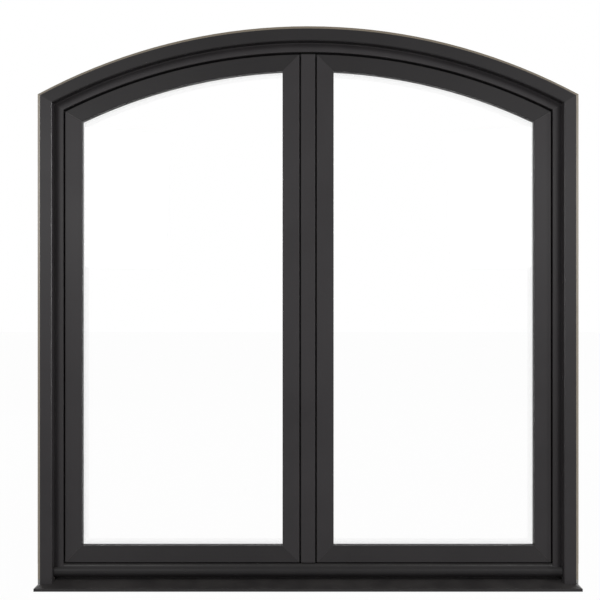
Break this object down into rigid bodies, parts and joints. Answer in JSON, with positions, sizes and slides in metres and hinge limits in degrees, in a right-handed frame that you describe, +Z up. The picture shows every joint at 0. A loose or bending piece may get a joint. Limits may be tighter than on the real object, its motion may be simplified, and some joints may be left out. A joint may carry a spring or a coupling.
{
  "type": "arched casement window",
  "caption": "Aluminium-clad timber window with side-hung double-glazed sashes under one segmental arch head, with flat casing and sloped sub-sill.",
  "frame": {"origin": "underside of the sub-sill, in the middle of the width and midway through the timber frame's depth", "axes": "+Z up, -Y out to the weather side, +X to the right seen from outside"},
  "size_m": [1.58, 0.159, 1.635],
  "materials": {
    "cladding": "satin near-black powder coat",
    "timber": "clear satin lacquer on softwood",
    "sill_board": "grey primer",
    "glass": "clear float glass",
    "spacer": "mill",
    "seal": "black extruded rubber",
    "handle": "brushed"
  },
  "bodies": {
    "root": {"bottom_rail_cladding_left": "cladding", "bottom_rail_cladding_right": "cladding", "bottom_rail_left": "timber", "bottom_rail_right": "timber", "casing_head": "cladding", "casing_left": "cladding", "casing_right": "cladding", "frame_head": "timber", "frame_jamb_left": "timber", "frame_jamb_right": "timber", "frame_mullion": "timber", "frame_sill": "timber", "glazing_gasket_left": "seal", "glazing_gasket_right": "seal", "handle_lever_left": "handle", "handle_lever_right": "handle", "handle_plate_left": "handle", "handle_plate_right": "handle", "head_cladding": "cladding", "hinge_stile_cladding_left": "cladding", "hinge_stile_cladding_right": "cladding", "hinge_stile_left": "timber", "hinge_stile_right": "timber", "inner_pane_left": "glass", "inner_pane_right": "glass", "jamb_cladding_left": "cladding", "jamb_cladding_right": "cladding", "meeting_stile_cladding_left": "cladding", "meeting_stile_cladding_right": "cladding", "meeting_stile_left": "timber", "meeting_stile_right": "timber", "mullion_cover": "cladding", "outer_pane_left": "glass", "outer_pane_right": "glass", "sill_cladding": "cladding", "sill_nosing": "cladding", "spacer_left": "spacer", "spacer_right": "spacer", "sub_sill": "sill_board", "top_rail_cladding_left": "cladding", "top_rail_cladding_right": "cladding", "top_rail_left": "timber", "top_rail_right": "timber", "weather_seal_left": "seal", "weather_seal_right": "seal"}
  },
  "joints": []
}
